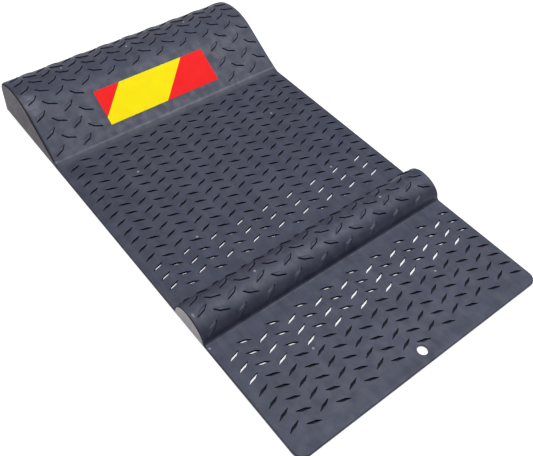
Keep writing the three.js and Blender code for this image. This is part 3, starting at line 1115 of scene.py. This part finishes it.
# Where the fold carries its painted highlight and its painted shade, and where both of the approach hump's
# end faces carry a painted sheen
FOLD_HIGHLIGHT_NEAR, FOLD_HIGHLIGHT_FAR = 0.3, 1.4
FOLD_LEFT_NEAR, FOLD_LEFT_FAR, FOLD_LEFT_HIGHLIGHT = 2.0, 4.5, 1.6
FOLD_SHADE_Y, FOLD_SHADE_NEAR, FOLD_SHADE_FAR, FOLD_SHADE_SHARE = FOLD_END_Y - 3.4, 1.2, 3.4, 0.45
END_FACE_NEAR, END_FACE_FAR = HALF_WIDTH - 0.12, HALF_WIDTH - 0.02
END_SHEEN_Y, END_SHEEN_NEAR, END_SHEEN_FAR = APPROACH_CREST_Y - 3, 17, 21


class Shader:
    """A Principled material with short ways to add and join nodes. Lengths in nodes are metres."""

    def __init__(self, name, roughness=0.5, specular=0.5):
        self.material = bpy.data.materials.new(name)
        self.material.use_nodes = True
        self.tree = self.material.node_tree
        self.surface = self.tree.nodes["Principled BSDF"]
        self.set(self.surface, {"Roughness": roughness, "Specular IOR Level": specular})
        self.place = self.tree.nodes.new("ShaderNodeTexCoord").outputs["Object"]

    def set(self, node, values):
        for socket, value in values.items():
            if isinstance(value, bpy.types.NodeSocket):
                self.tree.links.new(value, node.inputs[socket])
            else:
                node.inputs[socket].default_value = value

    def add(self, kind, values, output=0, **settings):
        node = self.tree.nodes.new("ShaderNode" + kind)
        for name, value in settings.items():
            setattr(node, name, value)
        self.set(node, values)
        return node.outputs[output]

    def noise(self, scale, detail=3.0, stretch=(1, 1, 1)):
        place = self.add("VectorMath", {0: self.place, 1: stretch}, operation="MULTIPLY")
        return self.add("TexNoise", {"Vector": place, "Scale": scale, "Detail": detail})

    def remap(self, value, low, high, to_low, to_high):
        limits = {"Value": value, "From Min": low, "From Max": high, "To Min": to_low, "To Max": to_high}
        return self.add("MapRange", limits, interpolation_type="SMOOTHSTEP")

    def maths(self, operation, first, second=0.0):
        return self.add("Math", {0: first, 1: second}, operation=operation)

    def times(self, first, second):
        return self.maths("MULTIPLY", first, second)

    def band(self, axis, centre, near, far, inside=1, outside=0):
        """A soft-edged band in x (axis 0) or y (axis 1): its centre and half widths are in millimetres."""
        place = self.add("SeparateXYZ", {0: self.place}, output=axis)
        away = self.maths("ABSOLUTE", self.maths("SUBTRACT", place, centre * MM))
        return self.remap(away, near * MM, far * MM, inside, outside)

    def wear_and_shade(self):
        """The shares of rubbing, which on the bars' top edges also paints a highlight, and of painted shade
        in the mesh's wear.
        """
        rubbed_and_highlight = self.add("Attribute", {}, output=2, attribute_name="wear_and_shade")
        painted_shade = self.times(self.maths("MINIMUM", rubbed_and_highlight, 0.0), -1.0)
        return self.maths("MAXIMUM", rubbed_and_highlight, 0.0), painted_shade

    def blend(self, share, first, second):
        return self.add("Mix", {0: share, 6: first, 7: second}, output=2, data_type="RGBA")

    def bump(self, height, strength, distance, under=None):
        values = {"Height": height, "Strength": strength, "Distance": distance}
        if under:
            values["Normal"] = under
        return self.add("Bump", values)

    def finish(self, colour, roughness, normal):
        self.set(self.surface, {"Base Color": colour, "Roughness": roughness, "Normal": normal})
        return self.material


def plastic_material(name="moulded_plastic", paleness=0.0):
    """Satin dark blue-grey plastic: moulding grain, flow mottling, painted shade in the fold, on the bars'
    front sides, along the rims and behind the approach hump, rubbed bar edges that also paint a highlight,
    and painted highlights along the fold and beside the left rims.
    """
    shader = Shader(name)
    mottling = shader.remap(shader.noise(55, 5), 0.35, 0.68, 0, 1)
    flow = shader.remap(shader.noise(30, 4, (6, 0.8, 2)), 0.42, 0.72, 0, 1)
    patchy = shader.remap(shader.noise(300, 4), 0.35, 0.65, 0.25, 1)
    rubbed_and_highlight, painted_shade = shader.wear_and_shade()
    # Painted shade in the hollow of the fold, just under its painted highlight
    hollow = shader.band(1, FOLD_SHADE_Y, FOLD_SHADE_NEAR, FOLD_SHADE_FAR, FOLD_SHADE_SHARE)
    colour = shader.blend(mottling, DARK_PLASTIC, LIGHT_PLASTIC)
    colour = shader.blend(shader.times(flow, 0.35), colour, FLOW_STREAK)
    # Rubbed bar edges, also a painted highlight
    colour = shader.blend(shader.times(shader.times(rubbed_and_highlight, patchy), 0.35), colour, RUBBED_HIGHLIGHT_PLASTIC)
    colour = shader.blend(hollow, colour, FOLD_SHADE)
    # Painted highlight along the fold
    colour = shader.blend(shader.times(fold_highlight(shader), 0.5), colour, FOLD_HIGHLIGHT)
    # Painted highlights and glints beside the left rims
    colour = shader.blend(painted_glints(shader), colour, GLINT_PALE)
    # Painted shade on the bars' front sides, along the rims and behind the approach hump
    colour = shader.blend(painted_shade, colour, PAINTED_SHADE_COLOUR)
    # Paleness of the gate stubs, partly a painted highlight
    if paleness:
        colour = shader.blend(paleness, colour, GATE_PALE)
    roughness = shader.remap(shader.noise(120, 4), 0.3, 0.7, 0.36, 0.52)
    roughness = shader.maths("MAXIMUM", roughness, shader.maths("MAXIMUM", painted_shade, hollow))
    normal = shader.bump(shader.noise(45, 2), 0.5, 0.0004)
    normal = shader.bump(shader.noise(1900, 3), 0.35, 0.00006, normal)
    return shader.finish(colour, roughness, normal)


def fold_highlight(shader):
    """A painted highlight: the pale line along the top of the fold, where the ramp begins. Its left end is
    paler.
    """
    near = shader.band(1, FOLD_END_Y, FOLD_HIGHLIGHT_NEAR, FOLD_HIGHLIGHT_FAR)
    left_end = shader.band(0, -HALF_WIDTH, FOLD_LEFT_NEAR, FOLD_LEFT_FAR, FOLD_LEFT_HIGHLIGHT)
    patchy = shader.remap(shader.noise(90, 4), 0.3, 0.6, 0.3, 1)
    return shader.times(near, shader.maths("MAXIMUM", patchy, left_end))


def painted_glints(shader):
    """Painted highlights: pale spots and glints beside the left rims, over a faint pale haze."""
    patches = shader.noise(110, 3)
    total = shader.remap(patches, 0.4, 0.62, 0.0, HAZE)
    for spot, radius, share in PAINTED_GLINT_SPOTS:
        away = shader.add("VectorMath", {0: shader.place, 1: spot * MM}, output=1, operation="DISTANCE")
        near = shader.remap(away, 0.1 * radius * MM, radius * MM, share, 0)
        total = shader.maths("MAXIMUM", total, near)
    return shader.times(total, shader.remap(patches, 0.4, 0.62, 0.4, 1))


def painted_end_sheen(shader):
    """A painted pale sheen on both end faces of the approach hump."""
    outside = shader.band(0, 0, END_FACE_NEAR, END_FACE_FAR, 0, 1)
    near = shader.band(1, END_SHEEN_Y, END_SHEEN_NEAR, END_SHEEN_FAR)
    uneven = shader.remap(shader.noise(110, 4), 0.3, 0.7, 0.75, 1)
    return shader.times(shader.times(outside, near), uneven)


def side_material():
    """The mat's upright sides, with the plain end walls of the humps: a smoother, warmer and duller grey,
    paler than the plastic, which paints the light on them. They carry painted shade over the stop hump's
    ends and a painted sheen on the approach hump's end faces.
    """
    shader = Shader("side_plastic", specular=0.22)
    _, painted_shade = shader.wear_and_shade()
    patches = shader.remap(shader.noise(40, 4), 0.3, 0.7, 0, 1)
    colour = shader.blend(patches, DARK_SIDE, LIGHT_SIDE)
    # Painted sheen on the approach hump's end faces
    colour = shader.blend(shader.times(painted_end_sheen(shader), 0.9), colour, PAINTED_END_SHEEN)
    # Painted shade over the stop hump's end walls
    colour = shader.blend(painted_shade, colour, PAINTED_SHADE_COLOUR)
    roughness = shader.remap(shader.noise(120, 4), 0.3, 0.7, 0.44, 0.52)
    return shader.finish(colour, roughness, shader.bump(shader.noise(1900, 3), 0.35, 0.00006))


def shade_wall_material():
    """Painted shade: near-black, almost unreflecting walls for the slots, also used for the bars' sides that
    face the front.
    """
    shader = Shader("painted_shade_wall", specular=0.01)
    painted_shade = shader.remap(shader.noise(700, 4), 0.3, 0.7, 0, 1)
    colour = shader.blend(painted_shade, DARK_SLOT_SHADE, LIGHT_SLOT_SHADE)
    roughness = shader.remap(shader.noise(400, 3), 0.3, 0.7, 0.8, 1.0)
    return shader.finish(colour, roughness, shader.bump(shader.noise(1500, 3), 0.3, 0.00008))


def foam_material():
    """Dark open-cell foam rubber with small pores."""
    shader = Shader("grip_foam", specular=0.3)
    pores = shader.add("TexVoronoi", {"Vector": shader.place, "Scale": 1500.0})
    shade = shader.remap(shader.noise(200, 4), 0.3, 0.7, 0, 1)
    colour = shader.blend(shade, DARK_FOAM, LIGHT_FOAM)
    roughness = shader.remap(pores, 0.0, 0.8, 0.95, 0.75)
    return shader.finish(colour, roughness, shader.bump(pores, 0.6, 0.0002))


def film_material(name, colour, shade):
    """Glossy marker film with a faint fine texture and slight unevenness of colour, glowing faintly in its
    own colour as painted light.
    """
    shader = Shader(name, specular=0.04)
    patches = shader.remap(shader.noise(70, 3), 0.3, 0.7, 0, 1)
    mixed = shader.blend(patches, colour, shade)
    roughness = shader.remap(shader.noise(250, 3), 0.3, 0.7, 0.3, 0.42)
    normal = shader.bump(shader.noise(1200, 2), 0.12, 0.00004)
    # Painted light: the film glows faintly in its own colour
    shader.set(shader.surface, {"Emission Color": mixed, "Emission Strength": 0.07})
    return shader.finish(mixed, roughness, normal)


# ---------- scene ----------

FLOOR_SIZE = 4.0
FLOOR_DEPTH = 0.0001
FLOOR_GREY, FLOOR_GLOW = (0.35, 0.35, 0.35, 1), 0.8
WHITE = (1, 1, 1, 1)
ROOM_LIGHT = 0.26

# Lights: name, direction, distance and width in metres, radiance, colour
LIGHTS = [
    ("softbox", (0.3, -0.05, 1), 1.5, 2.3, 1.6, (0.75, 0.85, 1.0)),
    ("back_light", (-0.6, 0.6, 0.8), 1.6, 0.9, 4.0, (1.0, 0.97, 0.95)),
    ("front_light", (0.4, -0.12, 0.92), 1.6, 0.7, 3.6, (1.0, 0.95, 0.99)),
    ("rear_light", (0.4, 0.85, 0.5), 1.6, 0.9, 0.7, (1.0, 0.97, 0.97))]

CAMERA_PLACE = Vector((-0.2824, -0.3495, 0.4600))
CAMERA_AZIMUTH = math.radians(-41.43)
CAMERA_ELEVATION = math.radians(48.97)
CAMERA_ROLL = math.radians(4.159)
CAMERA_LENS, CAMERA_SENSOR = 47.25, 36
# Half a pixel of the 533 pixel wide picture
CAMERA_SHIFT = 0.5 / 533


def make_floor():
    """A plain pale floor, which glows a little so that it stays even."""
    mesh = bpy.data.meshes.new("floor")
    square = ((-1, -1), (1, -1), (1, 1), (-1, 1))
    corners = [(x * FLOOR_SIZE, y * FLOOR_SIZE, -FLOOR_DEPTH) for x, y in square]
    mesh.from_pydata(corners, [], [(0, 1, 2, 3)])
    shader = Shader("pale_floor", roughness=0.9, specular=0.1)
    shader.set(shader.surface, {
        "Base Color": FLOOR_GREY, "Emission Color": WHITE, "Emission Strength": FLOOR_GLOW})
    mesh.materials.append(shader.material)
    floor = bpy.data.objects.new("floor", mesh)
    bpy.context.scene.collection.objects.link(floor)


def area_light(name, way, distance, size, radiance, colour):
    """A round soft light facing the mat, so many metres away along a direction."""
    data = bpy.data.lights.new(name, "AREA")
    data.shape = "DISK"
    data.size = size
    data.color = colour
    data.energy = radiance * math.pi * math.pi * size * size / 4
    light = bpy.data.objects.new(name, data)
    light.location = Vector(way).normalized() * distance
    light.rotation_euler = Vector(way).to_track_quat("Z", "Y").to_euler()
    bpy.context.scene.collection.objects.link(light)


def make_light():
    """A wide cool softbox overhead, three smaller warmer lights, and a soft room all round."""
    world = bpy.data.worlds.new("studio")
    world.use_nodes = True
    background = world.node_tree.nodes["Background"]
    background.inputs["Color"].default_value = WHITE
    background.inputs["Strength"].default_value = ROOM_LIGHT
    bpy.context.scene.world = world
    for light in LIGHTS:
        area_light(*light)
    bpy.context.scene.view_settings.view_transform = "Standard"


def make_camera():
    """The photo's viewpoint, estimated from the lattice of slots."""
    data = bpy.data.cameras.new("camera")
    data.lens = CAMERA_LENS
    data.sensor_width = CAMERA_SENSOR
    data.shift_x, data.shift_y = -CAMERA_SHIFT, CAMERA_SHIFT
    a, e, r = CAMERA_AZIMUTH, CAMERA_ELEVATION, CAMERA_ROLL
    back = Vector((math.sin(a) * math.cos(e), -math.cos(a) * math.cos(e), math.sin(e)))
    right = Vector((math.cos(a), math.sin(a), 0))
    up = back.cross(right)
    across = math.cos(r) * right + math.sin(r) * up
    upward = -math.sin(r) * right + math.cos(r) * up
    camera = bpy.data.objects.new("camera", data)
    turn = Matrix((across, upward, back)).transposed()
    camera.matrix_world = Matrix.Translation(CAMERA_PLACE) @ turn.to_4x4()
    data.clip_start, data.clip_end = 0.01, 20
    bpy.context.scene.collection.objects.link(camera)
    bpy.context.scene.camera = camera


make_camera()
make_floor()
make_light()
plastic = plastic_material()
moulding = make_moulding(plastic, shade_wall_material(), side_material())
settle(moulding, "moulded_plastic", "front_plate", "approach_hump", "long_plate", "stop_hump")
make_ribs(plastic)
settle(make_gate_marks(plastic_material("gate_plastic", 0.4)), "moulded_plastic")
foam = foam_material()
for strip_node in STRIPS:
    settle(make_strip(strip_node, foam), "grip_foam", strip_node)
make_label(film_material("label_red", RED, DEEP_RED), film_material("label_yellow", YELLOW, DEEP_YELLOW))
